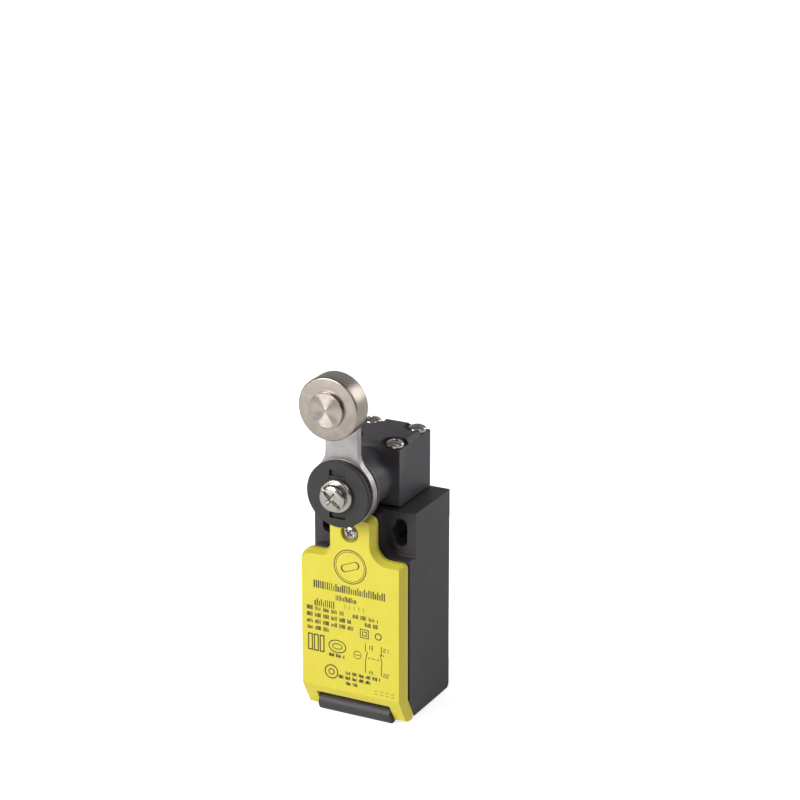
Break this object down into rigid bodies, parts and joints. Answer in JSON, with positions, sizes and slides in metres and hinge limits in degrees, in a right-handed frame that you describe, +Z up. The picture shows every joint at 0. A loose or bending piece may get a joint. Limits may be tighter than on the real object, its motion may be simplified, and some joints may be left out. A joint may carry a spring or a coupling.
{
  "type": "roller lever limit switch",
  "caption": "Plastic limit switch with a swinging roller lever, a hinged front cover, two slotted fixing ears and a bottom cable entry.",
  "frame": {"origin": "on the rear face, midway between the two fixing holes", "axes": "+Z up towards the roller, -Y out of the front cover, +Y into the surface the switch is fixed to, +X to the right seen from the front"},
  "size_m": [0.03, 0.0401, 0.0972],
  "materials": {
    "body_plastic": "fine texture",
    "head_plastic": "fine texture",
    "cover_plastic": "satin",
    "rubber": "matt",
    "zinc_steel": "zinc plated",
    "screw_steel": "nickel plated",
    "roller_steel": "turned",
    "shaft_steel": "ground",
    "bronze": "sintered",
    "contact_brass": "bright",
    "rod_plastic": "smooth",
    "block_plastic": "smooth",
    "carrier_plastic": "smooth",
    "spring_steel": "drawn wire"
  },
  "bodies": {
    "body": {"housing": "body_plastic", "cover_gasket": "rubber", "head_gasket": "rubber", "head_housing": "head_plastic", "head_screws": "screw_steel", "shaft_bush": "bronze", "shaft_seal": "rubber", "pushrod_spring": "spring_steel", "pushrod_seal": "rubber", "contact_base": "block_plastic", "contact_back_plate": "block_plastic", "fixed_contact_21": "contact_brass", "fixed_contact_22": "contact_brass", "fixed_contact_13": "contact_brass", "fixed_contact_14": "contact_brass", "terminal_screws": "screw_steel", "terminal_washers": "zinc_steel", "block_screws": "screw_steel"},
    "cover": {"cover": "cover_plastic", "cover_screw": "screw_steel", "hinge_pin": "shaft_steel"},
    "lever": {"shaft": "shaft_steel", "cam": "shaft_steel", "cam_pin": "shaft_steel", "lever_arm": "zinc_steel", "serrated_ring": "zinc_steel", "index_disc": "head_plastic", "index_key": "head_plastic", "lever_washer": "screw_steel", "lever_screw": "screw_steel", "roller_axle": "roller_steel", "roller_spacer": "zinc_steel"},
    "roller": {"roller": "roller_steel", "roller_bush": "bronze"},
    "pushrod": {"pushrod": "rod_plastic"},
    "carrier": {"contact_carrier": "carrier_plastic", "nc_bridge": "contact_brass", "no_bridge": "contact_brass", "nc_spring": "spring_steel", "no_spring": "spring_steel"}
  },
  "joints": [
    {"name": "lever_pivot", "type": "hinge", "parent": "body", "child": "lever", "pos_m": [0, -0.0093, 0.01353], "axis": [0, 1, 0], "range_deg": [-75, 75], "stiffness_Nm_per_rad": 0.08},
    {"name": "roller_spin", "type": "hinge", "parent": "lever", "child": "roller", "pos_m": [0, -0.0363, 0.03767], "axis": [0, 1, 0], "continuous": true},
    {"name": "cover_hinge", "type": "hinge", "parent": "body", "child": "cover", "pos_m": [0, -0.0235, -0.049], "axis": [1, 0, 0], "range_deg": [0, 110]},
    {"name": "pushrod_slide", "type": "slide", "parent": "body", "child": "pushrod", "axis": [0, 0, -1], "range_m": [0, 0.0015], "stiffness_N_per_m": 400, "springref_m": -0.002, "deforming": ["pushrod_spring"]},
    {"name": "carrier_slide", "type": "slide", "parent": "body", "child": "carrier", "axis": [0, 0, -1], "range_m": [0, 0.0015]}
  ],
  "couplings": [
    {"joint": "carrier_slide", "follows": "pushrod_slide", "ratio": 1}
  ]
}
